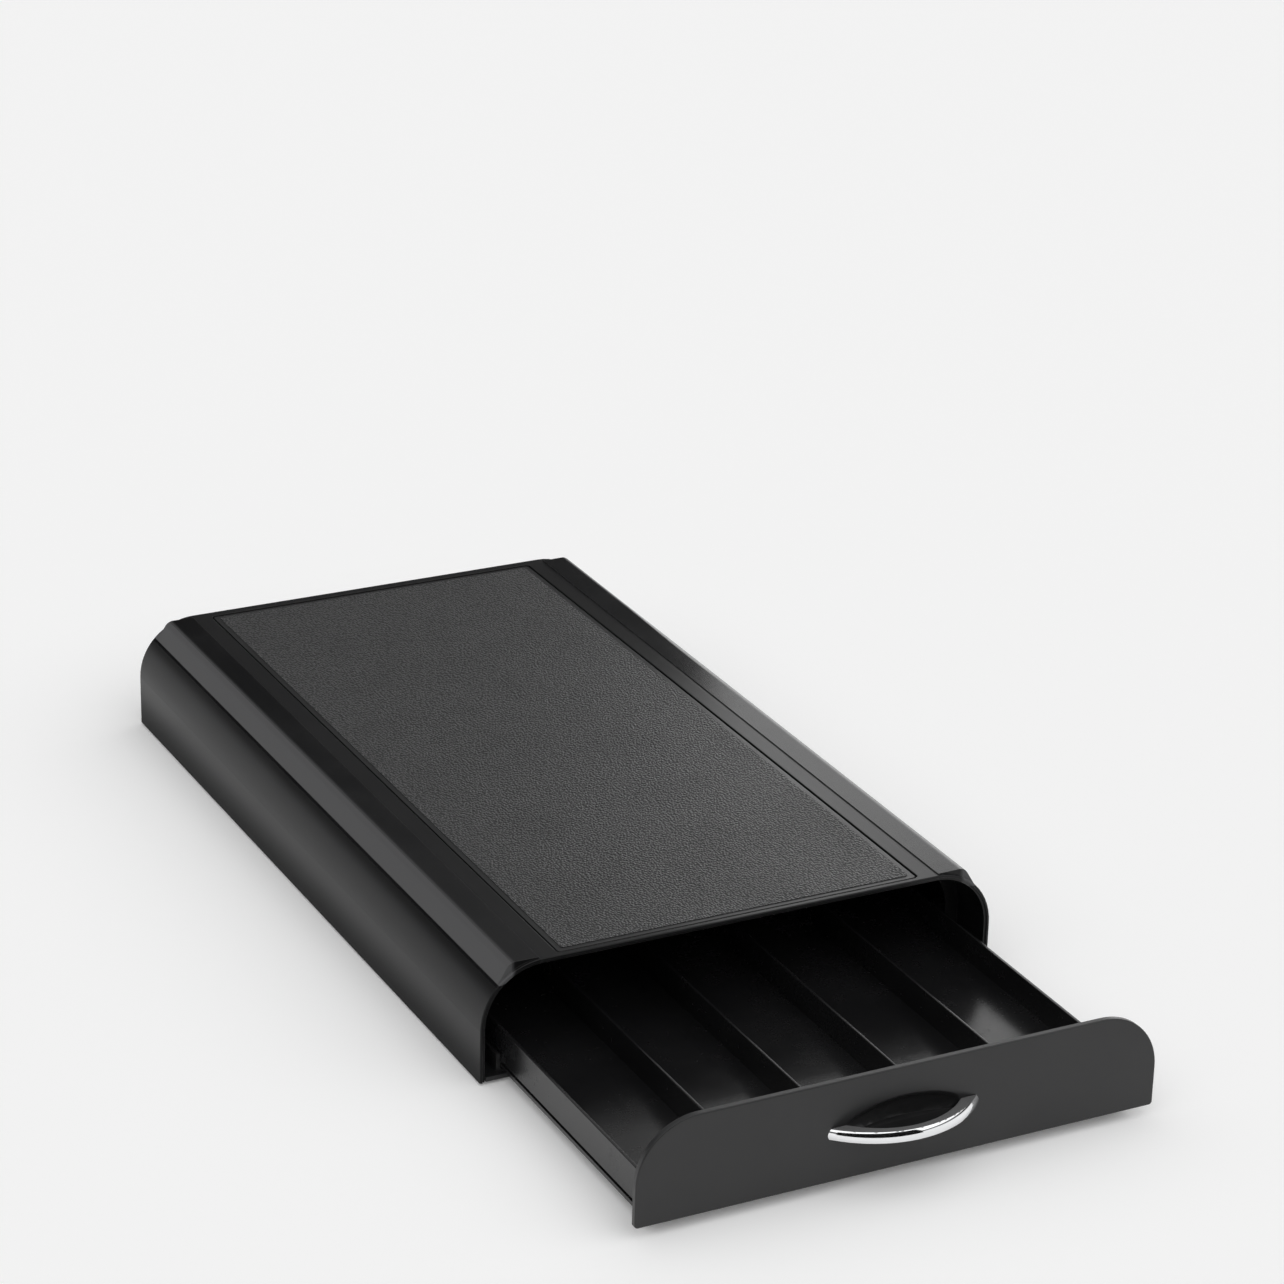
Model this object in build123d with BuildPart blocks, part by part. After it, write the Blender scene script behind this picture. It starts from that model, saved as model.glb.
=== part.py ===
from build123d import *
import os
from math import cos, radians, sin

os.makedirs("parts", exist_ok=True)

# Coffee pod organizer in millimetres: a moulded hood with an anti-slip top to set things on, and
# under it a drawer with five channels. X runs across, Y from front to back, Z up from the table.
# The drawer is modelled pulled out, as it stands at rest.

# Drawer tray
columns = 5
rows = 10
channel_width = 44.3
row_pitch = 39.2
divider_thickness = 1.4
tray_wall = 1.6
tray_floor = 2.0
tray_wall_height = 13.4
tray_corner_radius = 5.0
tray_rim_round = 0.4

# Slide: a lip under the tray runs in a C-shaped runner
running_gap = 0.3
lip_thickness = 1.8
lip_width = 1.7
skirt_thickness = 1.8
tongue_thickness = 1.0
runner_foot = 1.4
runner_foot_width = 5.6
runner_web = 1.7
runner_web_rise = 3.4
stop_block_length = 8.0
pull_out = 140.0
full_travel = 275.0

# Housing
case_height = 54.0
case_wall = 2.4
shoulder_radius = 29.0
side_bay = 6.45
rear_bay = 13.8
edge_round = 0.6
rim_step = 1.2
rim_step_depth = 0.8

# Raised ridge that squares off each shoulder
ridge_foot_angle = 45
ridge_apex_inset = 14.1
ridge_apex_rise = 0.6
ridge_inner_inset = 27.7
ridge_inner_rise = 0.45
ridge_round = 5.0
ridge_front_setback = 1.4
ridge_rear_setback = 4.1

# Anti-slip mat, let into the top: a plain border round a raised, grained field
mat_margin_side = 36.9
mat_margin_front = 2.6
mat_margin_rear = 5.2
mat_groove = 0.9
mat_recess = 1.1
mat_recess_round = 0.35
mat_thickness = 1.2
mat_corner_radius = 1.6
mat_border = 2.5
mat_border_drop = 0.3

# Stiffening ribs inside the hood
rib_thickness = 1.6
rib_depth = 3.0
rib_count = 5
first_rib = 24.0
long_ribs = 3
long_rib_pitch = 56.0

# Base plate, its screws and the rubber feet
plate_thickness = 2.0
plate_lift = 0.5
plate_gap = 0.3
floor_rib_count = 3
floor_rib_pitch = 60.0
floor_rib_height = 1.2
screw_radius = 1.3
screw_length = 12.0
screw_head_radius = 2.7
screw_gap = 0.1
boss_radius = 3.2
boss_height = 19.0
boss_sink = 0.4
boss_end_inset = 34.0
rear_boss_spread = 60.0
pilot_spare = 1.5
foot_radius = 7.0
foot_proud = 1.0
foot_sink = 1.0
foot_inset = 20.0
foot_round = 0.5
peg_radius = 1.4
peg_count = 4
peg_inset = 30.0

# Drawer front
panel_thickness = 2.6
panel_gap = 0.9
panel_ground_gap = 1.9
panel_radius = 28.0
panel_foot_radius = 1.6
panel_round = 0.6
fixing_boss_radius = 3.0
fixing_screw_radius = 1.0
fixing_screw_grip = 3.4
fixing_head_radius = 4.0
fixing_head_height = 1.8
fixing_gap = 0.5
fixing_rise = 8.0

# Handle: a crescent grip with a chrome strip, in front of a scoop in the panel
grip_rise = 25.2
grip_height = 4.7
grip_half_span = 35.6
grip_bow = 15.3
grip_end = 9.0
pocket_bow = 10.8
pocket_floor = 1.2
grip_round = 0.5
trim_thickness = 1.2
trim_round = 0.45
glue_gap = 0.1
scoop_flare = 6.7
scoop_radius = 7.6
scoop_lead = 3.0
scoop_wall = 1.6
scoop_round = 2.0
stake_radius = 1.5
stake_head_radius = 2.5
stake_head_height = 0.9
stake_inset = 4.4

# Tray details
guide_thickness = 1.2
guide_reach = 3.0
divider_slot_gap = 0.2
divider_floor_groove = 0.5
divider_round = 0.5
under_rib_count = 5
under_rib_thickness = 1.6
under_rib_height = 1.4

overrun = 1.0

# Heights above the table
base_z = foot_proud
top_z = base_z + case_height
ceiling_z = top_z - case_wall
plate_bottom = base_z + plate_lift
plate_top = plate_bottom + plate_thickness
lip_bottom = plate_top + runner_foot + running_gap
lip_top = lip_bottom + lip_thickness
tongue_bottom = lip_top + running_gap
floor_bottom = tongue_bottom + tongue_thickness + running_gap
floor_top = floor_bottom + tray_floor
tray_top = floor_top + tray_wall_height
panel_bottom = plate_top + panel_ground_gap
panel_top = ceiling_z - panel_gap
grip_top = panel_bottom + grip_rise
grip_bottom = grip_top - grip_height
pocket_z = grip_bottom + pocket_floor
pocket_half_span = grip_half_span - grip_end
scoop_half_span = pocket_half_span + scoop_flare

# Half widths, from the middle outwards
tray_half_inner = (columns * channel_width + (columns - 1) * divider_thickness) / 2
tray_half = tray_half_inner + tray_wall
skirt_half = tray_half - lip_width
runner_half = tray_half + running_gap + runner_web
cavity_half = runner_half + side_bay
case_half = cavity_half + case_wall
panel_half = cavity_half - panel_gap
column_pitch = channel_width + divider_thickness

# Places along Y, with the origin in the middle of the open part
tray_length = rows * row_pitch + 2 * tray_wall
case_length = panel_thickness + tray_length + rear_bay + case_wall
open_length = case_length + pull_out + grip_bow
case_rear = open_length / 2
case_front = case_rear - case_length
cavity_rear = case_rear - case_wall
panel_front = case_front - pull_out
panel_rear = panel_front + panel_thickness
tray_front = panel_rear
tray_rear = tray_front + tray_length
runner_front = case_front + panel_thickness + running_gap
runner_rear = cavity_rear - plate_gap
stop_block_rear = tray_rear - tray_corner_radius
tongue_rear = stop_block_rear - stop_block_length + pull_out - full_travel - running_gap


def arch(half_width, bottom, top, radius):
    """Face with upright sides, round shoulders and a flat top."""
    shoulder_x = half_width - radius
    shoulder_z = top - radius
    with BuildSketch() as face:
        with BuildLine():
            Line((-shoulder_x, top), (shoulder_x, top))
            CenterArc((shoulder_x, shoulder_z), radius, 0, 90)
            Line((half_width, shoulder_z), (half_width, bottom))
            Line((half_width, bottom), (-half_width, bottom))
            Line((-half_width, bottom), (-half_width, shoulder_z))
            CenterArc((-shoulder_x, shoulder_z), radius, 90, 90)
        make_face()
    return face.sketch


def crescent(half_span, bow):
    """Face between a straight line across and an arc that bows to the front."""
    with BuildSketch() as face:
        with BuildLine():
            ThreePointArc((-half_span, 0), (0, -bow), (half_span, 0))
            Line((-half_span, 0), (half_span, 0))
        make_face()
    return face.sketch


# Places of the screws that hold the base plate
boss_x = cavity_half - boss_radius + boss_sink
boss_rows = [case_front + boss_end_inset, (case_front + case_rear) / 2, case_rear - boss_end_inset]
side_bosses = [(side * boss_x, y) for side in (-1, 1) for y in boss_rows]
rear_boss_y = cavity_rear - boss_radius + boss_sink
rear_bosses = [(side * rear_boss_spread, rear_boss_y) for side in (-1, 1)]
screw_places = side_bosses + rear_bosses

# Recess for the mat in the top of the housing
recess_half = case_half - mat_margin_side
recess_front = case_front + mat_margin_front
recess_rear = case_rear - mat_margin_rear
recess_length = recess_rear - recess_front
mat_middle = (recess_front + recess_rear) / 2

# Housing shell
with BuildPart() as housing_shell:
    with BuildSketch(Plane.XZ.offset(-case_rear)):
        add(arch(case_half, base_z, top_z, shoulder_radius))
    extrude(amount=case_length)
    fillet(edges().group_by(Axis.Y)[0].sort_by(Axis.Z)[1:], edge_round)
    fillet(edges().group_by(Axis.Y)[-1].sort_by(Axis.Z)[1:], edge_round)

    # ridges: a steep outer face from the shoulder up to a round apex, then a nearly flat top
    centre_x = case_half - shoulder_radius
    centre_z = top_z - shoulder_radius
    ridge_foot_x = centre_x + shoulder_radius * cos(radians(ridge_foot_angle))
    ridge_foot_z = centre_z + shoulder_radius * sin(radians(ridge_foot_angle))
    with BuildSketch(Plane.XZ.offset(-(case_rear - ridge_rear_setback))):
        with BuildLine():
            Polyline(
                (ridge_foot_x, ridge_foot_z),
                (case_half - ridge_apex_inset, top_z + ridge_apex_rise),
                (case_half - ridge_inner_inset, top_z + ridge_inner_rise),
                (case_half - ridge_inner_inset, centre_z),
                (ridge_foot_x, ridge_foot_z),
            )
        make_face()
        fillet(vertices().sort_by(Axis.Y)[-1], ridge_round)
        mirror(about=Plane.YZ)
    extrude(amount=case_length - ridge_front_setback - ridge_rear_setback)

    # cavity, open at the front and below, and the step round the mouth
    with BuildSketch(Plane.XZ.offset(-cavity_rear)):
        add(arch(cavity_half, base_z - overrun, ceiling_z, shoulder_radius - case_wall))
    extrude(amount=case_length, mode=Mode.SUBTRACT)
    with BuildSketch(Plane.XZ.offset(-(case_front + rim_step_depth))):
        add(arch(case_half - rim_step, base_z - overrun, top_z - rim_step, shoulder_radius - rim_step))
    extrude(amount=rim_step_depth + overrun, mode=Mode.SUBTRACT)

    # recess for the mat, with a softened edge
    with BuildSketch(Plane.XY.offset(top_z)):
        with Locations((0, mat_middle)):
            RectangleRounded(2 * recess_half, recess_length, mat_corner_radius + mat_groove)
    extrude(amount=-mat_recess, mode=Mode.SUBTRACT)
    recess_edges = edges().filter_by_position(Axis.Z, top_z - mat_groove, top_z + ridge_inner_rise / 2)
    recess_edges = recess_edges.filter_by_position(Axis.X, -recess_half - mat_groove, recess_half + mat_groove)
    recess_edges = recess_edges.filter_by_position(Axis.Y, recess_front - mat_groove, recess_rear + mat_groove)
    fillet(recess_edges.group_by(Axis.Z)[-1], mat_recess_round)

    # arch ribs across the ceiling and down both sides, clear of the runners
    rib_pitch = (case_length - case_wall - 2 * first_rib) / (rib_count - 1)
    rib_foot = plate_top + running_gap
    rib_half = runner_half + running_gap
    rib_radius = shoulder_radius - case_wall / 2
    for i in range(rib_count):
        with BuildSketch(Plane.XZ.offset(-(case_front + first_rib + i * rib_pitch + rib_thickness))):
            add(arch(cavity_half + case_wall / 2, rib_foot, ceiling_z + case_wall / 4, rib_radius))
            rib_inside = arch(rib_half, rib_foot - overrun, ceiling_z - rib_depth, rib_radius - rib_depth)
            add(rib_inside, mode=Mode.SUBTRACT)
        extrude(amount=rib_thickness)
    with BuildSketch(Plane.XZ.offset(-cavity_rear)):
        with GridLocations(long_rib_pitch, 0, long_ribs, 1):
            with Locations((0, ceiling_z)):
                Rectangle(rib_thickness, 2 * rib_depth)
        with Locations((0, ceiling_z)):
            Rectangle(case_half, 2 * rib_depth, align=(Align.CENTER, Align.MIN), mode=Mode.SUBTRACT)
    extrude(amount=case_length - case_wall - first_rib)

    # screw bosses along the sides and at the rear
    with BuildSketch(Plane.XY.offset(plate_top)):
        with Locations(*screw_places):
            Circle(boss_radius)
    extrude(amount=boss_height)
    with BuildSketch(Plane.XY.offset(plate_top)):
        with Locations(*screw_places):
            Circle(screw_radius + screw_gap)
    extrude(amount=screw_length - plate_thickness + pilot_spare, mode=Mode.SUBTRACT)
housing_shell.part.label = "housing_shell"
export_step(housing_shell.part, "parts/housing_shell.step")

# Anti-slip mat
with BuildPart() as anti_slip_mat:
    mat_half = recess_half - mat_groove
    mat_length = recess_length - 2 * mat_groove
    with BuildSketch(Plane.XY.offset(top_z - mat_recess)):
        with Locations((0, mat_middle)):
            RectangleRounded(2 * mat_half, mat_length, mat_corner_radius)
    extrude(amount=mat_thickness - mat_border_drop)
    fillet(faces().sort_by(Axis.Z)[-1].edges(), mat_thickness / 4)
    with BuildSketch(Plane.XY.offset(top_z - mat_recess)):
        with Locations((0, mat_middle)):
            RectangleRounded(2 * (mat_half - mat_border), mat_length - 2 * mat_border, mat_corner_radius)
    extrude(amount=mat_thickness)
    fillet(faces().sort_by(Axis.Z)[-1].edges(), mat_border_drop / 2)
anti_slip_mat.part.label = "anti_slip_mat"
export_step(anti_slip_mat.part, "parts/anti_slip_mat.step")

# Base plate
plate_half = cavity_half - plate_gap
plate_rear = cavity_rear - plate_gap
foot_x = plate_half - foot_inset
foot_places = {
    "front_left": (-foot_x, case_front + foot_inset),
    "front_right": (foot_x, case_front + foot_inset),
    "rear_left": (-foot_x, plate_rear - foot_inset),
    "rear_right": (foot_x, plate_rear - foot_inset),
}
peg_x = runner_half - runner_foot_width / 2
peg_pitch = (runner_rear - runner_front - 2 * peg_inset) / (peg_count - 1)
peg_rows = [runner_front + peg_inset + i * peg_pitch for i in range(peg_count)]
with BuildPart() as base_plate:
    with BuildSketch(Plane.XY.offset(plate_bottom)):
        with Locations((0, (case_front + plate_rear) / 2)):
            Rectangle(2 * plate_half, plate_rear - case_front)
    extrude(amount=plate_thickness)
    with BuildSketch(Plane.XY.offset(plate_top)):
        with Locations((0, (runner_front + rear_boss_y - 2 * boss_radius) / 2)):
            with GridLocations(floor_rib_pitch, 0, floor_rib_count, 1):
                Rectangle(rib_thickness, rear_boss_y - 2 * boss_radius - runner_front)
    extrude(amount=floor_rib_height)
    with BuildSketch(Plane.XY.offset(plate_bottom)):
        with Locations(*foot_places.values()):
            Circle(foot_radius + screw_gap)
    extrude(amount=foot_sink, mode=Mode.SUBTRACT)
    with BuildSketch(Plane.XY.offset(plate_bottom)):
        with Locations(*[(side * peg_x, y) for side in (-1, 1) for y in peg_rows]):
            Circle(peg_radius + screw_gap)
    extrude(amount=plate_thickness, mode=Mode.SUBTRACT)
    with Locations(Plane(origin=(0, 0, plate_bottom), x_dir=(1, 0, 0), z_dir=(0, 0, -1))):
        with Locations(*[(x, -y) for x, y in screw_places]):
            CounterSinkHole(
                radius=screw_radius + screw_gap,
                counter_sink_radius=screw_head_radius + screw_gap,
                counter_sink_angle=90,
            )
base_plate.part.label = "base_plate"
export_step(base_plate.part, "parts/base_plate.step")

# Screws of the base plate, countersunk from below
with BuildPart() as base_screw:
    with BuildSketch(Plane.XZ):
        with BuildLine():
            Polyline(
                (0, 0),
                (screw_head_radius, 0),
                (screw_radius, screw_head_radius - screw_radius),
                (screw_radius, screw_length - screw_radius),
                (0, screw_length),
                (0, 0),
            )
        make_face()
    revolve(axis=Axis.Z)
with BuildPart() as base_screws:
    with Locations(*[(x, y, plate_bottom) for x, y in screw_places]):
        add(base_screw.part)
base_screws.part.label = "base_screws"
export_step(base_screws.part, "parts/base_screws.step")

# Rubber feet
for name, (x, y) in foot_places.items():
    with BuildPart() as foot:
        with Locations((x, y, 0)):
            Cylinder(foot_radius, plate_bottom + foot_sink, align=(Align.CENTER, Align.CENTER, Align.MIN))
        fillet(edges().group_by(Axis.Z)[0], foot_round)
    foot.part.label = f"foot_{name}"
    export_step(foot.part, f"parts/foot_{name}.step")

# Runners: a foot under the lip, a web beside it and a tongue over its front part
for name, side in (("left", -1), ("right", 1)):
    outer = (Align.MAX if side > 0 else Align.MIN, Align.MIN)
    with BuildPart() as runner:
        with BuildSketch(Plane.XZ.offset(-runner_rear)):
            with Locations((side * runner_half, plate_top)):
                Rectangle(runner_foot_width, runner_foot, align=outer)
                Rectangle(runner_web, floor_bottom + runner_web_rise - plate_top, align=outer)
        extrude(amount=runner_rear - runner_front)
        with BuildSketch(Plane.XZ.offset(-tongue_rear)):
            with Locations((side * runner_half, tongue_bottom)):
                Rectangle(runner_web + lip_width, tongue_thickness, align=outer)
        extrude(amount=tongue_rear - runner_front)
        with BuildSketch(Plane.XY.offset(plate_top)):
            with Locations(*[(side * peg_x, y) for y in peg_rows]):
                Circle(peg_radius)
        extrude(amount=-plate_thickness)
    runner.part.label = f"runner_{name}"
    export_step(runner.part, f"parts/runner_{name}.step")

# Fixings between the tray and the panel, in the free corners of the columns
divider_places = [column_pitch * (i + 1 - columns / 2) for i in range(columns - 1)]
guide_x = divider_thickness / 2 + divider_slot_gap + guide_thickness / 2
fixing_inset = guide_x + guide_thickness / 2 + fixing_gap + fixing_head_radius
fixing_x = [x + fixing_inset for x in divider_places[: columns // 2]]
fixing_places = [(side * x, floor_top + fixing_rise) for side in (-1, 1) for x in fixing_x]

# Drawer tray
with BuildPart() as drawer_tray:
    with BuildSketch(Plane.XY.offset(floor_bottom)):
        with Locations((0, (tray_front + tray_rear) / 2)):
            Rectangle(2 * tray_half, tray_length)
    extrude(amount=tray_top - floor_bottom)
    fillet(edges().filter_by(Axis.Z).group_by(Axis.Y)[-1], tray_corner_radius)
    with BuildSketch(Plane.XY.offset(floor_top)):
        with Locations((0, (tray_front + tray_rear) / 2)):
            Rectangle(2 * tray_half_inner, tray_length - 2 * tray_wall)
            fillet(vertices().group_by(Axis.Y)[-1], tray_corner_radius - tray_wall)
    extrude(amount=tray_wall_height, mode=Mode.SUBTRACT)
    rim_edges = faces().sort_by(Axis.Z)[-1].edges()
    fillet(rim_edges.filter_by_position(Axis.Y, tray_front + overrun, tray_rear + overrun), tray_rim_round)

    # skirts and slide lips under both sides, with the groove closed at the rear as the stop
    for side in (-1, 1):
        outer = (Align.MAX if side > 0 else Align.MIN, Align.MAX)
        with BuildSketch(Plane.XZ.offset(-stop_block_rear)):
            with Locations((side * skirt_half, floor_bottom)):
                Rectangle(skirt_thickness, floor_bottom - lip_bottom, align=outer)
            with Locations((side * tray_half, lip_top)):
                Rectangle(lip_width + skirt_thickness / 2, lip_thickness, align=outer)
        extrude(amount=stop_block_rear - tray_front)
        with BuildSketch(Plane.XZ.offset(-stop_block_rear)):
            with Locations((side * tray_half, floor_bottom)):
                Rectangle(lip_width + skirt_thickness / 2, floor_bottom - lip_top, align=outer)
        extrude(amount=stop_block_length)

    # cross ribs under the floor
    with BuildSketch(Plane.XY.offset(floor_bottom)):
        with Locations((0, (tray_front + tray_rear) / 2)):
            with GridLocations(0, tray_length / under_rib_count, 1, under_rib_count):
                Rectangle(2 * skirt_half, under_rib_thickness)
    extrude(amount=-under_rib_height)

    # guides that hold the ends of the dividers, and a shallow groove under each
    guide_centres = [x + shift for x in divider_places for shift in (-guide_x, guide_x)]
    with BuildSketch(Plane.XY.offset(floor_top)):
        with Locations(*[(x, tray_front + tray_wall) for x in guide_centres]):
            Rectangle(guide_thickness, guide_reach, align=(Align.CENTER, Align.MIN))
        with Locations(*[(x, tray_rear - tray_wall) for x in guide_centres]):
            Rectangle(guide_thickness, guide_reach, align=(Align.CENTER, Align.MAX))
    extrude(amount=tray_wall_height - guide_reach)
    with BuildSketch(Plane.XY.offset(floor_top)):
        with Locations(*[(x, (tray_front + tray_rear) / 2) for x in divider_places]):
            Rectangle(divider_thickness + 2 * divider_slot_gap, tray_length - 2 * tray_wall)
    extrude(amount=-divider_floor_groove, mode=Mode.SUBTRACT)

    # holes for the bosses of the panel
    with BuildSketch(Plane.XZ.offset(-(tray_front + tray_wall))):
        with Locations(*fixing_places):
            Circle(fixing_boss_radius + screw_gap)
    extrude(amount=tray_wall, mode=Mode.SUBTRACT)
drawer_tray.part.label = "drawer_tray"
export_step(drawer_tray.part, "parts/drawer_tray.step")

# Column dividers, dropped into their guides
divider_front = tray_front + tray_wall + divider_slot_gap
divider_rear = tray_rear - tray_wall - divider_slot_gap
for i, x in enumerate(divider_places):
    with BuildPart() as divider:
        with BuildSketch(Plane.XY.offset(floor_top - divider_floor_groove)):
            with Locations((x, (divider_front + divider_rear) / 2)):
                Rectangle(divider_thickness, divider_rear - divider_front)
        extrude(amount=tray_wall_height + divider_floor_groove)
        fillet(edges().group_by(Axis.Z)[-1].filter_by(Axis.Y), divider_round)
    divider.part.label = f"column_divider_{i + 1}"
    export_step(divider.part, f"parts/column_divider_{i + 1}.step")

# Scoop behind the handle: a spindle along X whose axis lies a little in front of the panel
scoop_plane = Plane(origin=(0, panel_front - scoop_lead, grip_top), x_dir=(1, 0, 0), z_dir=(0, 0, 1))


def spindle(half_span, radius, foot_z):
    """Spindle about the axis of the scoop, cut level at its foot."""
    with BuildPart() as body:
        with BuildSketch(scoop_plane):
            with BuildLine():
                ThreePointArc((-half_span, 0), (0, radius), (half_span, 0))
                Line((-half_span, 0), (half_span, 0))
            make_face()
        revolve(axis=Axis(scoop_plane.origin, (1, 0, 0)))
        split(bisect_by=Plane.XY.offset(foot_z), keep=Keep.TOP)
    return body.part


scoop_tool = spindle(scoop_half_span, scoop_radius, pocket_z)
scoop_shell = spindle(scoop_half_span + scoop_wall, scoop_radius + scoop_wall, pocket_z - scoop_wall)
stake_places = [(side * (grip_half_span - stake_inset), (grip_top + grip_bottom) / 2) for side in (-1, 1)]

# Drawer front
with BuildPart() as drawer_front:
    # the back of the scoop, as far as it stands behind the panel
    add(scoop_shell)
    split(bisect_by=Plane.XZ.offset(-(panel_front + panel_thickness / 2)), keep=Keep.BOTTOM)
    with BuildSketch(Plane.XZ.offset(-panel_rear)):
        add(arch(panel_half, panel_bottom, panel_top, panel_radius))
        fillet(vertices().group_by(Axis.Y)[0], panel_foot_radius)
    extrude(amount=panel_thickness)
    fillet(faces().sort_by(Axis.Y)[0].edges(), panel_round)

    # bosses for the screws that come through the wall of the tray
    with BuildSketch(Plane.XZ.offset(-(panel_rear + tray_wall))):
        with Locations(*fixing_places):
            Circle(fixing_boss_radius)
    extrude(amount=tray_wall)
    with BuildSketch(Plane.XZ.offset(-(panel_rear + tray_wall))):
        with Locations(*fixing_places):
            Circle(fixing_screw_radius + screw_gap)
    extrude(amount=fixing_screw_grip + screw_gap, mode=Mode.SUBTRACT)

    # holes for the stakes of the grip
    with BuildSketch(Plane.XZ.offset(-panel_rear)):
        with Locations(*stake_places):
            Circle(stake_radius + screw_gap)
    extrude(amount=panel_thickness, mode=Mode.SUBTRACT)

    # the scoop itself, level at the floor of the pocket, with a soft edge
    add(scoop_tool, mode=Mode.SUBTRACT)
    scoop_edges = faces().sort_by(Axis.Y)[0].inner_wires().sort_by(SortBy.LENGTH)[-1].edges()
    fillet(scoop_edges.filter_by(GeomType.LINE, reverse=True), scoop_round)
drawer_front.part.label = "drawer_front"
export_step(drawer_front.part, "parts/drawer_front.step")

# Screws between tray and panel, with wide heads inside the tray
with BuildPart() as front_screws:
    with BuildSketch(Plane.XZ.offset(-(tray_front + tray_wall + fixing_head_height))):
        with Locations(*fixing_places):
            Circle(fixing_head_radius)
    extrude(amount=fixing_head_height)
    fillet(edges().group_by(Axis.Y)[-1], fixing_head_height / 3)
    with BuildSketch(Plane.XZ.offset(-(tray_front + tray_wall))):
        with Locations(*fixing_places):
            Circle(fixing_screw_radius)
    extrude(amount=fixing_screw_grip)
front_screws.part.label = "front_screws"
export_step(front_screws.part, "parts/front_screws.step")

# Handle grip: a crescent cup in front of the scoop, with stakes through the panel
body_half_span = grip_half_span - trim_thickness - glue_gap
body_bow = grip_bow - trim_thickness - glue_gap
with BuildPart() as handle_grip:
    with BuildSketch(Plane((0, panel_front, grip_bottom))):
        add(crescent(body_half_span, body_bow))
    extrude(amount=grip_height)
    with BuildSketch(Plane((0, panel_front, pocket_z))):
        add(crescent(pocket_half_span, pocket_bow))
    extrude(amount=grip_height, mode=Mode.SUBTRACT)
    fillet(edges().group_by(Axis.Z)[-1].filter_by(GeomType.CIRCLE).sort_by(SortBy.LENGTH)[0], grip_round)
    with BuildSketch(Plane.XZ.offset(-panel_front)):
        with Locations(*stake_places):
            Circle(stake_radius)
    extrude(amount=-(panel_thickness + stake_head_height))
    with BuildSketch(Plane.XZ.offset(-panel_rear)):
        with Locations(*stake_places):
            Circle(stake_head_radius)
    extrude(amount=-stake_head_height)
handle_grip.part.label = "handle_grip"
export_step(handle_grip.part, "parts/handle_grip.step")

# Chrome strip round the grip
with BuildPart() as handle_trim:
    with BuildSketch(Plane((0, panel_front, grip_bottom))):
        add(crescent(grip_half_span, grip_bow))
        add(crescent(grip_half_span - trim_thickness, grip_bow - trim_thickness), mode=Mode.SUBTRACT)
    extrude(amount=grip_height)
    outer_edges = edges().filter_by(GeomType.CIRCLE).group_by(SortBy.LENGTH)[-1]
    fillet(outer_edges, trim_round)
handle_trim.part.label = "handle_trim"
export_step(handle_trim.part, "parts/handle_trim.step")
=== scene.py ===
import math

import bmesh
import bpy
from mathutils import Matrix, Vector


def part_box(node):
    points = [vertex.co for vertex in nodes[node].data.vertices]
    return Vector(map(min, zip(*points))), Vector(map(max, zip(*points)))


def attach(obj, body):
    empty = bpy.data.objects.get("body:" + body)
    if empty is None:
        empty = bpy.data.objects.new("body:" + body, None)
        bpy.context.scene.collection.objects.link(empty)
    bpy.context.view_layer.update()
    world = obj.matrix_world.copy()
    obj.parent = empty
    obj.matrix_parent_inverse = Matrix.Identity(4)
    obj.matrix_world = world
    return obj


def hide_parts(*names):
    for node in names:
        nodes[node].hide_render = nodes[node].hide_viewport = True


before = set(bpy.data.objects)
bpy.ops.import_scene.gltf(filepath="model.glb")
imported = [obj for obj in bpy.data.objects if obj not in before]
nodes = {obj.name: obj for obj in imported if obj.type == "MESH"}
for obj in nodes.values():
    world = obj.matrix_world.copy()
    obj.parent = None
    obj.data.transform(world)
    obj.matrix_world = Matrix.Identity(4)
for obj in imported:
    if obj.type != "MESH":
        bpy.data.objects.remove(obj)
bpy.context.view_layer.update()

# Where the organizer is looked at from: above the front left corner of the open drawer, through
# a long lens, with the horizon a degree and a half off level.
eye = Vector((-0.7660, -1.50565, 0.8480))
turn, tilt, lean = math.radians(27.359), math.radians(-22.894), math.radians(1.496)
ahead = Vector((math.sin(turn) * math.cos(tilt), math.cos(turn) * math.cos(tilt), math.sin(tilt)))
level = Vector((math.cos(turn), -math.sin(turn), 0))
upright = level.cross(ahead)
to_right = level * math.cos(lean) + upright * math.sin(lean)
to_top = upright * math.cos(lean) - level * math.sin(lean)
lens = bpy.data.cameras.new("camera")
lens.lens = 113.52
lens.sensor_width = 36
lens.clip_end = 100
camera = bpy.data.objects.new("camera", lens)
camera.matrix_world = Matrix.Translation(eye) @ Matrix((to_right, to_top, -ahead)).transposed().to_4x4()
bpy.context.scene.collection.objects.link(camera)
bpy.context.scene.camera = camera
bpy.context.scene.view_settings.view_transform = "Standard"

# The table: a wide white sweep that takes the soft shadow of the organizer and is white in its
# glossy sides. A faint glow of its own, for the eye and for reflections, keeps it pale.
table_radius, table_glow = 40, 0.10


def feed(tree, socket, value):
    """Gives a socket a plain number or colour, or the output of another node."""
    if isinstance(value, (int, float, tuple)):
        socket.default_value = value
    else:
        tree.links.new(value, socket)


def sum_up(tree, operation, *values):
    """One sum of one to three values, each a plain number or the output of another node."""
    worked = tree.nodes.new("ShaderNodeMath")
    worked.operation = operation
    for socket, value in zip(worked.inputs, values):
        feed(tree, socket, value)
    return worked.outputs[0]


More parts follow.
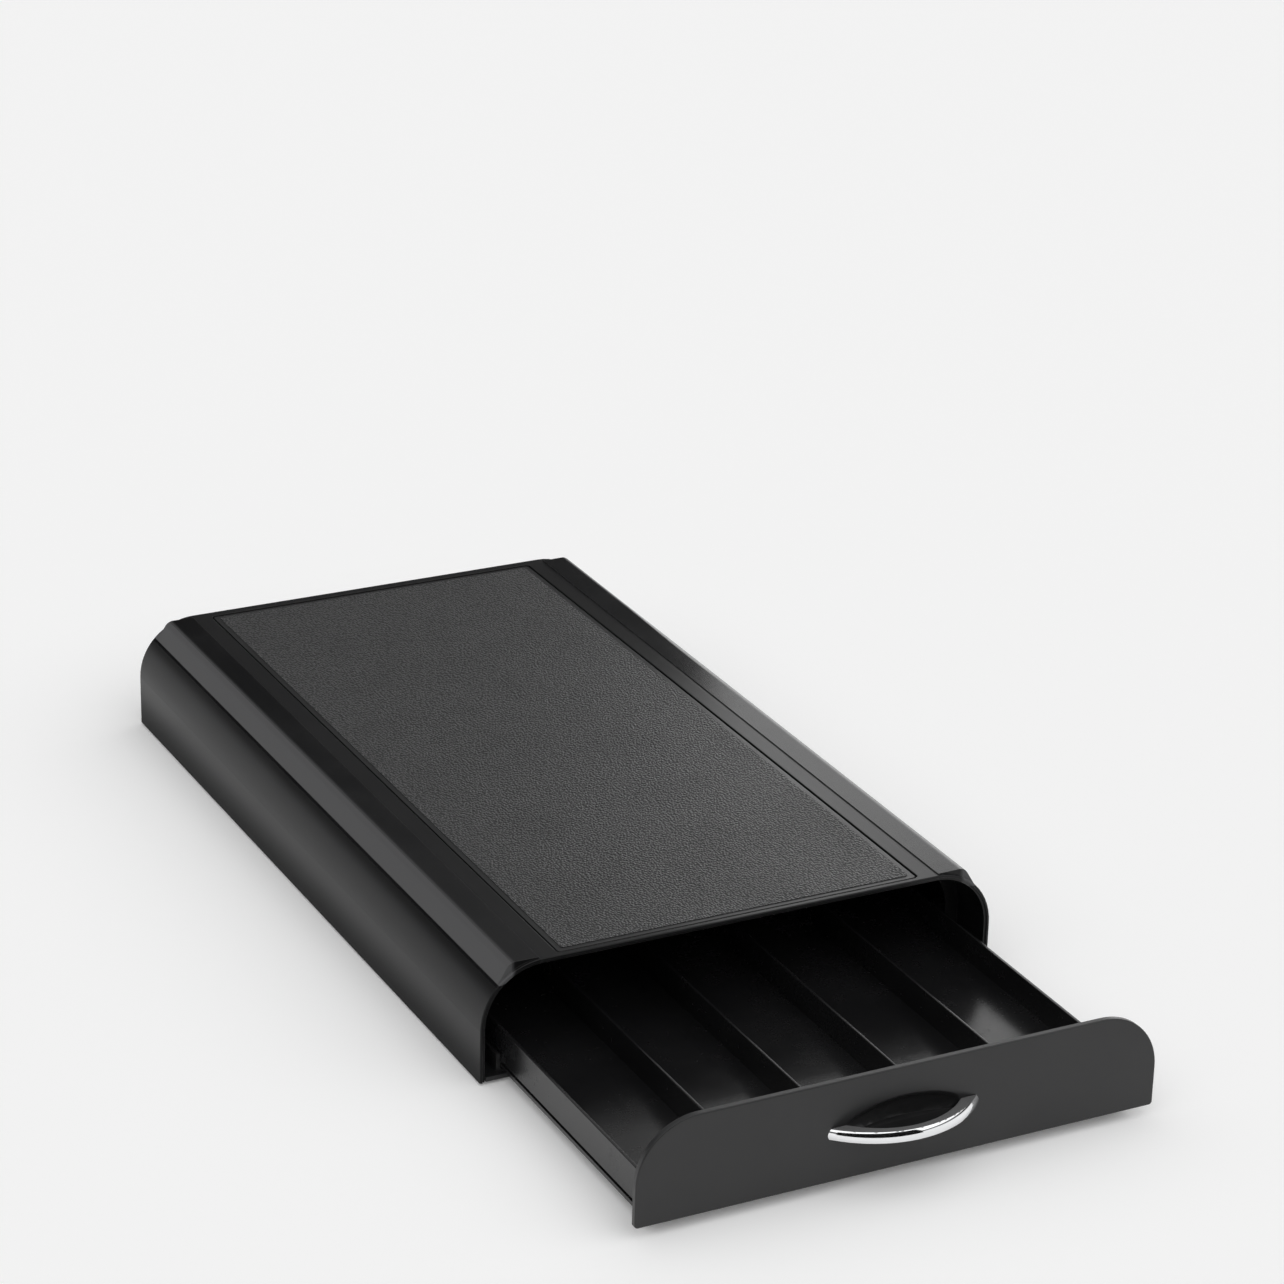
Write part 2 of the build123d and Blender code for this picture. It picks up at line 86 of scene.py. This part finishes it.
bpy.ops.object.select_all(action="DESELECT")
bpy.ops.mesh.primitive_circle_add(vertices=64, radius=table_radius, fill_type="NGON")
table = bpy.context.object
table.name = "table"
table_white = bpy.data.materials.new("table_white")
table_white.use_nodes = True
tree = table_white.node_tree
tree.nodes.clear()
painted = tree.nodes.new("ShaderNodeBsdfDiffuse")
painted.inputs["Color"].default_value = (0.95, 0.95, 0.95, 1)
seen = tree.nodes.new("ShaderNodeLightPath").outputs
in_view = sum_up(tree, "MAXIMUM", seen["Is Camera Ray"], seen["Is Glossy Ray"])
in_view = sum_up(tree, "MAXIMUM", in_view, seen["Is Transmission Ray"])
glow = tree.nodes.new("ShaderNodeEmission")
feed(tree, glow.inputs["Strength"], sum_up(tree, "MULTIPLY", in_view, table_glow))
both = tree.nodes.new("ShaderNodeAddShader")
tree.links.new(painted.outputs[0], both.inputs[0])
tree.links.new(glow.outputs[0], both.inputs[1])
surface = tree.nodes.new("ShaderNodeOutputMaterial")
tree.links.new(both.outputs[0], surface.inputs["Surface"])
table.data.materials.append(table_white)

# The light: a plain white ceiling, brighter towards the front than towards the back, that comes
# down a little lower on the right. The walls below it are dark, which gives black plastic its
# shape, and white again at their foot, where they meet the table.
ceiling_rises, wall_shade, front_drop = (0.36, 0.46), 0.03, -0.05
right_starts, right_drop = (0.36, 0.48), 0.08
mean_light, front_gain = 0.94, -0.64
foot_ends, foot_light = (0.12, 0.17), 0.87


def stretch(tree, value, low, high, out_low, out_high, curve="SMOOTHSTEP"):
    """Spreads the part of a value between low and high over a new range."""
    spread = tree.nodes.new("ShaderNodeMapRange")
    spread.interpolation_type = curve
    for title, number in (("From Min", low), ("From Max", high), ("To Min", out_low), ("To Max", out_high)):
        spread.inputs[title].default_value = number
    tree.links.new(value, spread.inputs["Value"])
    return spread.outputs["Result"]


studio = bpy.data.worlds.new("studio")
bpy.context.scene.world = studio
studio.use_nodes = True
tree = studio.node_tree
tree.nodes.clear()
direction = tree.nodes.new("ShaderNodeSeparateXYZ")
tree.links.new(tree.nodes.new("ShaderNodeTexCoord").outputs["Generated"], direction.inputs[0])
x, y, z = direction.outputs
drop = stretch(tree, x, *right_starts, 0, right_drop, "LINEAR")
height = sum_up(tree, "ADD", sum_up(tree, "MULTIPLY_ADD", y, front_drop, z), drop)
ceiling = tree.nodes.new("ShaderNodeValToRGB")
for stop, position, shade in zip(ceiling.color_ramp.elements, ceiling_rises, (wall_shade, 1)):
    stop.position = position
    stop.color = (shade, shade, shade, 1)
tree.links.new(height, ceiling.inputs["Fac"])
brightness = sum_up(tree, "MULTIPLY_ADD", y, front_gain, mean_light)
foot_of_walls = stretch(tree, z, *foot_ends, foot_light, 0, "LINEAR")
air = tree.nodes.new("ShaderNodeBackground")
air.inputs["Color"].default_value = (1, 1, 1, 1)
all_round = sum_up(tree, "MULTIPLY_ADD", ceiling.outputs["Color"], brightness, foot_of_walls)
tree.links.new(all_round, air.inputs["Strength"])
sky = tree.nodes.new("ShaderNodeOutputWorld")
tree.links.new(air.outputs[0], sky.inputs["Surface"])

# Two upright cards that show in glossy surfaces alone, as a photographer sets them up: a black one
# in front, which draws the dark line in the chrome, and a white one behind on the right, which
# lights the right half of the top.
for card_name, shade, strength, middle, size in (
    ("black_card", 0.01, 0.0, (-0.19, -0.70, 0.215), (0.82, 0.41)),
    ("white_card", 0.80, 1.5, (0.58, 0.47, 0.25), (0.56, 0.40)),
):
    bpy.ops.object.select_all(action="DESELECT")
    bpy.ops.mesh.primitive_plane_add(size=1, location=middle, rotation=(math.radians(90), 0, 0))
    card = bpy.context.object
    card.name = card_name
    card.scale = (*size, 1)
    bpy.ops.object.transform_apply(location=True, rotation=True, scale=True)
    card.visible_camera = card.visible_diffuse = card.visible_shadow = False
    board = bpy.data.materials.new(card_name)
    board.use_nodes = True
    board_shader = board.node_tree.nodes["Principled BSDF"]
    board_shader.inputs["Base Color"].default_value = (shade, shade, shade, 1)
    board_shader.inputs["Specular IOR Level"].default_value = 0.0
    board_shader.inputs["Emission Color"].default_value = (1, 1, 1, 1)
    board_shader.inputs["Emission Strength"].default_value = strength
    card.data.materials.append(board)


# Housing shell: one satin black ABS moulding with a raised ridge over each shoulder and a recess
# for the mat on top. The mould was polished on top and left matt on the ridges' outer faces, and
# those faces are painted a paler grey, a painted sheen for the light they catch.
def new_group(name, inputs, outputs):
    """Empty node group with float inputs, given as name and value, and the outputs named."""
    group = bpy.data.node_groups.new(name, "ShaderNodeTree")
    for title, value in inputs:
        socket = group.interface.new_socket(title, in_out="INPUT", socket_type="NodeSocketFloat")
        socket.default_value = value
    for title in outputs:
        group.interface.new_socket(title, in_out="OUTPUT", socket_type="NodeSocketFloat")
    return group, group.nodes.new("NodeGroupInput"), group.nodes.new("NodeGroupOutput")


def noise(tree, places, per_metre, detail, roughness):
    """Noise texture on given coordinates; its scale may come from another node."""
    texture = tree.nodes.new("ShaderNodeTexNoise")
    texture.inputs["Detail"].default_value = detail
    texture.inputs["Roughness"].default_value = roughness
    feed(tree, texture.inputs["Scale"], per_metre)
    tree.links.new(places, texture.inputs["Vector"])
    return texture.outputs["Fac"]


def mix_shades(tree, amount, first, second):
    """Mixes two colours; either may come from another node."""
    mixed = tree.nodes.new("ShaderNodeMix")
    mixed.data_type = "RGBA"
    tree.links.new(amount, mixed.inputs[0])
    for place, shade in ((6, first), (7, second)):
        feed(tree, mixed.inputs[place], (*shade, 1) if isinstance(shade, tuple) else shade)
    return mixed.outputs[2]


mould_skin, skin_in, skin_out = new_group(
    "mould_skin", [("Grain per metre", 2600.0), ("Cloud per metre", 22.0)], ["Height", "Clouds", "Rubs"]
)
own = mould_skin.nodes.new("ShaderNodeTexCoord").outputs["Object"]
grain = noise(mould_skin, own, skin_in.outputs["Grain per metre"], 3.0, 0.6)
cloud = noise(mould_skin, own, skin_in.outputs["Cloud per metre"], 3.0, 0.55)
rub = noise(mould_skin, own, 140, 5.0, 0.7)
mould_skin.links.new(grain, skin_out.inputs["Height"])
mould_skin.links.new(stretch(mould_skin, cloud, 0.35, 0.65, 0, 1), skin_out.inputs["Clouds"])
mould_skin.links.new(stretch(mould_skin, rub, 0.5, 0.75, 0, 1), skin_out.inputs["Rubs"])

# Edges found with a bevel normal, inside corners too, are made paler: partly rubbed wear, partly a painted
# highlight for the thin light lines that edges catch.
edge_wear_and_highlight, wear_highlight_in, wear_highlight_out = new_group("edge_wear_and_highlight", [("Width", 0.0005)], ["Edges"])
rounded = edge_wear_and_highlight.nodes.new("ShaderNodeBevel")
rounded.samples = 6
edge_wear_and_highlight.links.new(wear_highlight_in.outputs["Width"], rounded.inputs["Radius"])
facing = edge_wear_and_highlight.nodes.new("ShaderNodeNewGeometry")
likeness = edge_wear_and_highlight.nodes.new("ShaderNodeVectorMath")
likeness.operation = "DOT_PRODUCT"
edge_wear_and_highlight.links.new(rounded.outputs["Normal"], likeness.inputs[0])
edge_wear_and_highlight.links.new(facing.outputs["Normal"], likeness.inputs[1])
bent = stretch(edge_wear_and_highlight, likeness.outputs["Value"], 0.8, 0.98, 1, 0)
edge_wear_and_highlight.links.new(bent, wear_highlight_out.inputs["Edges"])


def moulded_plastic(name, dark, light, gloss, grain_per_metre, grain_depth, specular=0.5, edge=0.03):
    """Black moulded plastic: colour clouds between two shades, paler edges that are partly rubbed
    wear and partly painted highlight, gloss that varies between two roughnesses, and fine mould grain."""
    plastic = bpy.data.materials.new(name)
    plastic.use_nodes = True
    tree = plastic.node_tree
    shader = tree.nodes["Principled BSDF"]
    shader.inputs["Specular IOR Level"].default_value = specular
    skin = tree.nodes.new("ShaderNodeGroup")
    skin.node_tree = mould_skin
    skin.inputs["Grain per metre"].default_value = grain_per_metre
    wear_highlight = tree.nodes.new("ShaderNodeGroup")
    wear_highlight.node_tree = edge_wear_and_highlight
    shade = mix_shades(tree, skin.outputs["Clouds"], dark, light)
    # Paler edges: partly rubbed wear, partly painted highlight.
    shade = mix_shades(tree, wear_highlight.outputs["Edges"], shade, (edge, edge, edge))
    tree.links.new(shade, shader.inputs["Base Color"])
    dulled = sum_up(tree, "ADD", skin.outputs["Clouds"], skin.outputs["Rubs"])
    tree.links.new(stretch(tree, dulled, 0, 2, *gloss), shader.inputs["Roughness"])
    bump = tree.nodes.new("ShaderNodeBump")
    bump.inputs["Distance"].default_value = grain_depth
    bump.inputs["Strength"].default_value = 0.6
    tree.links.new(skin.outputs["Height"], bump.inputs["Height"])
    tree.links.new(bump.outputs["Normal"], shader.inputs["Normal"])
    return plastic


def own_places(tree):
    """Object coordinates, whole and apart as X, Y and Z."""
    places = tree.nodes.new("ShaderNodeTexCoord").outputs["Object"]
    apart = tree.nodes.new("ShaderNodeSeparateXYZ")
    tree.links.new(places, apart.inputs[0])
    return places, *apart.outputs


def rework(tree, title, change):
    """Feeds a socket of the material's shader with a changed form of what feeds it so far."""
    socket = tree.nodes["Principled BSDF"].inputs[title]
    tree.links.new(change(socket.links[0].from_socket), socket)


def finish_node(name, material):
    """Gives every material slot of a frame node one finish."""
    for slot in nodes[name].material_slots:
        slot.material = material


shoulder_top, shoulder_fade = (0.0460, 0.0466), (0.0450, 0.0466)
ridge_face_inner, ridge_face_outer, ridge_inner = (0.1092, 0.1120), (0.1176, 0.1180), (0.0982, 0.0986)
skirt_height, skirt_gloss = (0.002, 0.024), (0.62, 0.30)
# The ridges' outer faces get a paler grey: painted sheen for the light they catch.
ridge_face_painted_sheen, ridge_face_gloss, top_gloss = (0.086, 0.086, 0.088), 0.5, 0.28

satin_black = moulded_plastic(
    "satin_black",
    dark=(0.0062, 0.0062, 0.0066),
    light=(0.0080, 0.0080, 0.0084),
    gloss=(0.15, 0.22),
    grain_per_metre=3000,
    grain_depth=0.00002,
    specular=0.2,
    edge=0.045,
)
tree = satin_black.node_tree
places, x, y, z = own_places(tree)
off_middle = sum_up(tree, "ABSOLUTE", x)
above_shoulder = stretch(tree, z, *shoulder_top, 0, 1)
from_inside = stretch(tree, off_middle, *ridge_face_inner, 0, 1)
from_outside = stretch(tree, off_middle, *ridge_face_outer, 1, 0)
ridge_face = sum_up(tree, "MULTIPLY", above_shoulder, sum_up(tree, "MULTIPLY", from_inside, from_outside))
inside_ridges = sum_up(tree, "MULTIPLY", above_shoulder, stretch(tree, off_middle, *ridge_inner, 1, 0))
below_ridge = stretch(tree, z, *shoulder_fade, 1, 0)
dullest = stretch(tree, z, *skirt_height, *skirt_gloss)
dullest = sum_up(tree, "MAXIMUM", dullest, sum_up(tree, "MULTIPLY", ridge_face, ridge_face_gloss))
dullest = sum_up(tree, "MULTIPLY", dullest, sum_up(tree, "MAXIMUM", below_ridge, ridge_face))
dullest = sum_up(tree, "MAXIMUM", dullest, sum_up(tree, "MULTIPLY", inside_ridges, top_gloss))
# Painted sheen: the ridges' outer faces are coloured a paler grey.
rework(tree, "Base Color", lambda shade: mix_shades(tree, ridge_face, shade, ridge_face_painted_sheen))
rework(tree, "Roughness", lambda gloss: sum_up(tree, "MAXIMUM", gloss, dullest))
finish_node("housing_shell", satin_black)

# Anti-slip mat: a sheet of black rubber with a plain border round a pebbled leather grain, cut
# with round corners and glued into the recess in the top.
pebbles_per_metre, pebble_depth = 880, 0.0004
field_starts, field_rises = 0.00025, 0.00015
dome_edge, valley_edge, valley_gloss = (0.1, 0.7), (0.3, 0.8), (0.03, 0.25)
valley_tone, dome_tone = (0.0180, 0.0180, 0.0185), (0.0380, 0.0380, 0.0390)

pebbled_rubber = moulded_plastic(
    "pebbled_rubber",
    dark=(0.0085, 0.0085, 0.0090),
    light=(0.0105, 0.0105, 0.0110),
    gloss=(0.33, 0.40),
    grain_per_metre=2400,
    grain_depth=0.00003,
    specular=0.4,
)
tree = pebbled_rubber.node_tree
places, x, y, z = own_places(tree)
field_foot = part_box("anti_slip_mat")[1].z - field_starts
in_field = stretch(tree, z, field_foot, field_foot + field_rises, 0, 1)
pebbles = tree.nodes.new("ShaderNodeTexVoronoi")
pebbles.feature = "SMOOTH_F1"
pebbles.inputs["Scale"].default_value = pebbles_per_metre
pebbles.inputs["Smoothness"].default_value = 0.3
pebbles.inputs["Randomness"].default_value = 0.95
tree.links.new(places, pebbles.inputs["Vector"])
domes = stretch(tree, pebbles.outputs["Distance"], *dome_edge, 1, 0)
valleys = stretch(tree, pebbles.outputs["Distance"], *valley_edge, *valley_gloss)
pebble_bump = tree.nodes.new("ShaderNodeBump")
pebble_bump.inputs["Distance"].default_value = pebble_depth
pebble_bump.inputs["Strength"].default_value = 1.0
tree.links.new(sum_up(tree, "MULTIPLY", domes, in_field), pebble_bump.inputs["Height"])
fine_bump = tree.nodes["Principled BSDF"].inputs["Normal"].links[0].from_node
tree.links.new(pebble_bump.outputs["Normal"], fine_bump.inputs["Normal"])
# The pebbled field is paler on the pebble tops than in the valleys between them.
pebble_tones = mix_shades(tree, domes, valley_tone, dome_tone)
duller = sum_up(tree, "MULTIPLY", in_field, valleys)
rework(tree, "Base Color", lambda shade: mix_shades(tree, in_field, shade, pebble_tones))
rework(tree, "Roughness", lambda gloss: sum_up(tree, "ADD", gloss, duller))
finish_node("anti_slip_mat", pebbled_rubber)

# Base plate: a flat black ABS moulding that closes the housing from below. It lies inside the
# shell's walls and is held by screws driven up into bosses of the shell.
plain_black = moulded_plastic(
    "plain_black",
    dark=(0.0100, 0.0100, 0.0105),
    light=(0.0140, 0.0140, 0.0145),
    gloss=(0.40, 0.50),
    grain_per_metre=2000,
    grain_depth=0.00003,
)
finish_node("base_plate", plain_black)


# Eight zinc-plated steel screws, countersunk into the base plate from below, with cross recesses.
# One is turned and cut, and the others are copies of it.
def cut_cross(screw, depth, width, reach, narrowing=0.6):
    """Cuts a cross recess, narrower at its bottom, into a screw head that faces down at z = 0."""
    for across in ((width, reach), (reach, width)):
        bpy.ops.object.select_all(action="DESELECT")
        bpy.ops.mesh.primitive_cube_add(size=1, location=(0, 0, 0), scale=(*across, 2 * depth))
        bar = bpy.context.object
        bpy.ops.object.transform_apply(location=True, rotation=True, scale=True)
        bpy.ops.object.mode_set(mode="EDIT")
        pick_faces(bar, lambda middle, normal: normal.z > 0.9)
        bpy.ops.transform.resize(value=(narrowing, narrowing, 1), center_override=(0, 0, depth))
        bpy.ops.object.mode_set(mode="OBJECT")
        bpy.ops.object.select_all(action="DESELECT")
        screw.select_set(True)
        bpy.context.view_layer.objects.active = screw
        cut = screw.modifiers.new("recess", "BOOLEAN")
        cut.operation = "DIFFERENCE"
        cut.solver = "EXACT"
        cut.object = bar
        bpy.ops.object.modifier_apply(modifier=cut.name)
        bpy.data.objects.remove(bar)


def pick_faces(piece, wanted):
    """In edit mode, selects only the faces whose middle and normal pass a test."""
    bpy.ops.mesh.select_mode(type="FACE")
    bpy.ops.mesh.select_all(action="DESELECT")
    shape = bmesh.from_edit_mesh(piece.data)
    for face in shape.faces:
        face.select_set(wanted(face.calc_center_median(), face.normal))
    bmesh.update_edit_mesh(piece.data)


def place_copies(model, copies, body, replaced):
    """Puts a copy of a model, with its own mesh, at each place and takes the model away."""
    for name, place in copies:
        bpy.ops.object.select_all(action="DESELECT")
        twin = model.copy()
        twin.data = model.data.copy()
        twin.name = twin.data.name = name
        bpy.context.scene.collection.objects.link(twin)
        twin.location = place
        twin.select_set(True)
        bpy.context.view_layer.objects.active = twin
        bpy.ops.object.transform_apply(location=True, rotation=True, scale=True)
        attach(twin, body)
        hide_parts(replaced)
    bpy.data.objects.remove(model)


def plated_metal(name, dark, light, gloss, clouds_per_metre):
    """Plated metal: clouds between two shades, and gloss that varies between two roughnesses."""
    metal = bpy.data.materials.new(name)
    metal.use_nodes = True
    tree = metal.node_tree
    shader = tree.nodes["Principled BSDF"]
    shader.inputs["Metallic"].default_value = 1.0
    skin = tree.nodes.new("ShaderNodeGroup")
    skin.node_tree = mould_skin
    skin.inputs["Cloud per metre"].default_value = clouds_per_metre
    tree.links.new(mix_shades(tree, skin.outputs["Clouds"], dark, light), shader.inputs["Base Color"])
    tree.links.new(stretch(tree, skin.outputs["Rubs"], 0, 1, *gloss), shader.inputs["Roughness"])
    return metal


screw_radius, screw_head, screw_length, tip_share = 0.0013, 0.0027, 0.012, 0.15
wall_inset, row_inset, rear_spread = 0.0052, 0.034, 0.060
shell_low, shell_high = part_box("housing_shell")
plate_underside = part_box("base_plate")[0].z

bpy.ops.object.select_all(action="DESELECT")
bpy.ops.mesh.primitive_cylinder_add(
    vertices=32, radius=screw_radius, depth=screw_length, location=(0, 0, screw_length / 2)
)
base_screw = bpy.context.object
bpy.ops.object.transform_apply(location=True, rotation=True, scale=True)
bpy.ops.object.mode_set(mode="EDIT")
for height in (screw_head - screw_radius, screw_length - screw_radius):
    bpy.ops.mesh.select_all(action="SELECT")
    bpy.ops.mesh.bisect(plane_co=(0, 0, height), plane_no=(0, 0, 1))
pick_faces(base_screw, lambda middle, normal: normal.z < -0.9)
head_share = screw_head / screw_radius
bpy.ops.transform.resize(value=(head_share, head_share, 1), center_override=(0, 0, 0))
pick_faces(base_screw, lambda middle, normal: normal.z > 0.9)
bpy.ops.transform.resize(value=(tip_share, tip_share, 1), center_override=(0, 0, screw_length))
bpy.ops.object.mode_set(mode="OBJECT")
cut_cross(base_screw, depth=0.0009, width=0.0006, reach=0.0028)
bpy.ops.object.shade_smooth_by_angle(angle=math.radians(35))

zinc = plated_metal("zinc_steel", (0.42, 0.43, 0.45), (0.55, 0.56, 0.57), (0.25, 0.40), 400)
base_screw.data.materials.append(zinc)
finish_node("base_screws", zinc)

side_x, rear_y = shell_high.x - wall_inset, shell_high.y - wall_inset
first_row, last_row = shell_low.y + row_inset, shell_high.y - row_inset
screw_spots = [
    (side * side_x, row) for row in (first_row, (first_row + last_row) / 2, last_row) for side in (-1, 1)
]
screw_spots += [(side * rear_spread, rear_y) for side in (-1, 1)]
place_copies(
    base_screw,
    [(f"base_screw_{count + 1}", (*spot, plate_underside)) for count, spot in enumerate(screw_spots)],
    "housing",
    "base_screws",
)

# Four moulded rubber feet, pressed into round seats under the base plate. Each stands on a ring
# round a shallow hollow.
edge_round, ring_width, hollow_width, lip_width = 0.0005, 0.0018, 0.0022, 0.0004
hollow_depth, button_rise = 0.0006, 0.0004

foot_rubber = moulded_plastic(
    "foot_rubber",
    dark=(0.020, 0.020, 0.020),
    light=(0.028, 0.028, 0.028),
    gloss=(0.70, 0.85),
    grain_per_metre=900,
    grain_depth=0.00008,
    specular=0.3,
)
for corner in ("front_left", "front_right", "rear_left", "rear_right"):
    foot_low, foot_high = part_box(f"foot_{corner}")
    bpy.ops.object.select_all(action="DESELECT")
    bpy.ops.mesh.primitive_cylinder_add(
        vertices=64,
        radius=(foot_high.x - foot_low.x) / 2,
        depth=foot_high.z - foot_low.z,
        location=(foot_low + foot_high) / 2,
    )
    pad = bpy.context.object
    pad.name = pad.data.name = f"pad_{corner}"
    bpy.ops.object.transform_apply(location=True, rotation=True, scale=True)
    bpy.ops.object.mode_set(mode="EDIT")
    pick_faces(pad, lambda middle, normal: normal.z < -0.9)
    bpy.ops.mesh.bevel(offset=edge_round, segments=3, affect="EDGES")
    pick_faces(pad, lambda middle, normal: normal.z < -0.999)
    bpy.ops.mesh.inset(thickness=ring_width)
    bpy.ops.mesh.inset(thickness=lip_width)
    bpy.ops.transform.translate(value=(0, 0, hollow_depth))
    bpy.ops.mesh.inset(thickness=hollow_width)
    bpy.ops.mesh.inset(thickness=lip_width)
    bpy.ops.transform.translate(value=(0, 0, -button_rise))
    bpy.ops.object.mode_set(mode="OBJECT")
    bpy.ops.object.shade_smooth_by_angle(angle=math.radians(40))
    pad.data.materials.append(foot_rubber)
    finish_node(f"foot_{corner}", foot_rubber)
    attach(pad, "housing")
    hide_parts(f"foot_{corner}")

# Runners: two C-shaped channels of slippery black acetal, pegged to the base plate along its
# sides. The lips of the drawer tray slide in them.
slippery_black = moulded_plastic(
    "slippery_black",
    dark=(0.0120, 0.0120, 0.0125),
    light=(0.0160, 0.0160, 0.0165),
    gloss=(0.30, 0.40),
    grain_per_metre=1500,
    grain_depth=0.00001,
)
finish_node("runner_left", slippery_black)
finish_node("runner_right", slippery_black)

# Drawer tray and its four column dividers: glossy black ABS. The tray is one moulding with the slide
# lips under its sides, and the dividers are pushed down into guides at both of its ends.
tray_black = moulded_plastic(
    "tray_black",
    dark=(0.0075, 0.0075, 0.0080),
    light=(0.0100, 0.0100, 0.0105),
    gloss=(0.22, 0.32),
    grain_per_metre=2200,
    grain_depth=0.00001,
    specular=0.45,
)
finish_node("drawer_tray", tray_black)
for count in range(1, 5):
    finish_node(f"column_divider_{count}", tray_black)

# Drawer front: a finely grained black ABS moulding, flat and plain but for the scoop behind the
# handle. It is screwed to the front wall of the tray.
front_black = moulded_plastic(
    "front_black",
    dark=(0.0105, 0.0105, 0.0110),
    light=(0.0135, 0.0135, 0.0140),
    gloss=(0.30, 0.40),
    grain_per_metre=2800,
    grain_depth=0.00003,
)
finish_node("drawer_front", front_black)

# Four pan head screws of zinc-plated steel with cross recesses. They are driven from inside the tray,
# through its front wall, into the drawer front.
head_radius, head_height, head_round = 0.0040, 0.0018, 0.0009
pin_radius, pin_length, point_length, point_share = 0.0010, 0.0034, 0.0008, 0.3
inner_spread = 0.01625
screws_low, screws_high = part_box("front_screws")
outer_spread = screws_high.x - head_radius

bpy.ops.object.select_all(action="DESELECT")
bpy.ops.mesh.primitive_cylinder_add(
    vertices=48, radius=head_radius, depth=head_height, location=(0, 0, head_height / 2)
)
front_screw = bpy.context.object
bpy.ops.object.transform_apply(location=True, rotation=True, scale=True)
bpy.ops.object.mode_set(mode="EDIT")
pick_faces(front_screw, lambda middle, normal: normal.z > 0.9)
bpy.ops.mesh.inset(thickness=head_radius - pin_radius)
for rise in (pin_length - point_length, point_length):
    bpy.ops.mesh.extrude_region_move(TRANSFORM_OT_translate={"value": (0, 0, rise)})
bpy.ops.transform.resize(value=(point_share, point_share, 1))
pick_faces(front_screw, lambda middle, normal: normal.z < -0.9)
bpy.ops.mesh.bevel(offset=head_round, segments=4, affect="EDGES")
bpy.ops.object.mode_set(mode="OBJECT")
cut_cross(front_screw, depth=0.0011, width=0.0008, reach=0.0038)
front_screw.rotation_euler = (math.radians(90), 0, 0)
bpy.ops.object.transform_apply(location=True, rotation=True, scale=True)
bpy.ops.object.shade_smooth_by_angle(angle=math.radians(35))
front_screw.data.materials.append(zinc)
finish_node("front_screws", zinc)
screws_z = (screws_low.z + screws_high.z) / 2
front_spots = (-outer_spread, -inner_spread, inner_spread, outer_spread)
place_copies(
    front_screw,
    [(f"front_screw_{count + 1}", (spot, screws_high.y, screws_z)) for count, spot in enumerate(front_spots)],
    "drawer",
    "front_screws",
)

# Handle grip: a crescent of black ABS with a pocket for the fingers, staked through the drawer
# front. Its top is painted grey with a fine speckle, a painted sheen for the light from above, and
# its pocket and sides are black.
top_height, specks_per_metre, top_roughness = (0.0300, 0.0304), 3400, 0.62
top_sheen_dark, top_sheen_light = (0.090, 0.090, 0.091), (0.150, 0.150, 0.151)

grip_black = moulded_plastic(
    "grip_black",
    dark=(0.0100, 0.0100, 0.0105),
    light=(0.0130, 0.0130, 0.0135),
    gloss=(0.38, 0.48),
    grain_per_metre=3200,
    grain_depth=0.00004,
    specular=0.4,
)
tree = grip_black.node_tree
places, x, y, z = own_places(tree)
on_top = stretch(tree, z, *top_height, 0, 1)
specks = stretch(tree, noise(tree, places, specks_per_metre, 2.0, 0.6), 0.35, 0.65, 0, 1)
painted_top_sheen = mix_shades(tree, specks, top_sheen_dark, top_sheen_light)
dull_top = sum_up(tree, "MULTIPLY", on_top, top_roughness)
# Painted sheen: the grip's top is coloured grey for the light falling on its grain from above.
rework(tree, "Base Color", lambda shade: mix_shades(tree, on_top, shade, painted_top_sheen))
rework(tree, "Roughness", lambda gloss: sum_up(tree, "MAXIMUM", gloss, dull_top))
finish_node("handle_grip", grip_black)

# Chrome strip: bright chrome-plated plastic with a domed face, bent along the front of the grip
# and glued to it. Its ends stop flat against the drawer front.
strip_low, strip_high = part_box("handle_trim")
panel_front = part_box("drawer_front")[0].y
strip_half_span, strip_out = strip_high.x, panel_front - strip_low.y
strip_depth, dome_radius, dome_drop = 0.00115, 0.0045, 0.0007
bend_radius = (strip_half_span**2 + strip_out**2) / (2 * strip_out)
bend_centre = (0, strip_low.y + bend_radius, (strip_low.z + strip_high.z) / 2)
sweep = math.asin(strip_half_span / bend_radius) + math.radians(1)
outward = Vector((-math.sin(sweep), -math.cos(sweep), 0))

bpy.ops.object.select_all(action="DESELECT")
bpy.ops.mesh.primitive_circle_add(
    vertices=160,
    radius=dome_radius,
    fill_type="NGON",
    location=Vector(bend_centre) + outward * (bend_radius - dome_radius) - Vector((0, 0, dome_drop)),
    rotation=(0, math.radians(90), -sweep),
)
strip = bpy.context.object
strip.name = strip.data.name = "chrome_strip"
bpy.ops.object.transform_apply(location=True, rotation=True, scale=True)
bpy.ops.object.mode_set(mode="EDIT")
bpy.ops.mesh.select_all(action="SELECT")
bpy.ops.mesh.bisect(
    plane_co=Vector(bend_centre) + outward * (bend_radius - strip_depth), plane_no=outward, clear_inner=True
)
bpy.ops.mesh.select_all(action="SELECT")
bpy.ops.mesh.bisect(plane_co=(0, 0, strip_low.z), plane_no=(0, 0, 1), clear_inner=True)
bpy.ops.mesh.select_all(action="SELECT")
bpy.ops.mesh.spin(steps=72, angle=-2 * sweep, center=bend_centre, axis=(0, 0, 1))
bpy.ops.mesh.select_all(action="SELECT")
bpy.ops.mesh.remove_doubles(threshold=0.000001)
bpy.ops.mesh.bisect(plane_co=(0, panel_front, 0), plane_no=(0, 1, 0), use_fill=True, clear_outer=True)
bpy.ops.mesh.select_all(action="SELECT")
bpy.ops.mesh.normals_make_consistent(inside=False)
bpy.ops.object.mode_set(mode="OBJECT")
bpy.ops.object.shade_smooth_by_angle(angle=math.radians(30))

chrome = plated_metal("bright_chrome", (0.86, 0.87, 0.88), (0.93, 0.93, 0.94), (0.07, 0.14), 22)
strip.data.materials.append(chrome)
finish_node("handle_trim", chrome)
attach(strip, "drawer")
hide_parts("handle_trim")
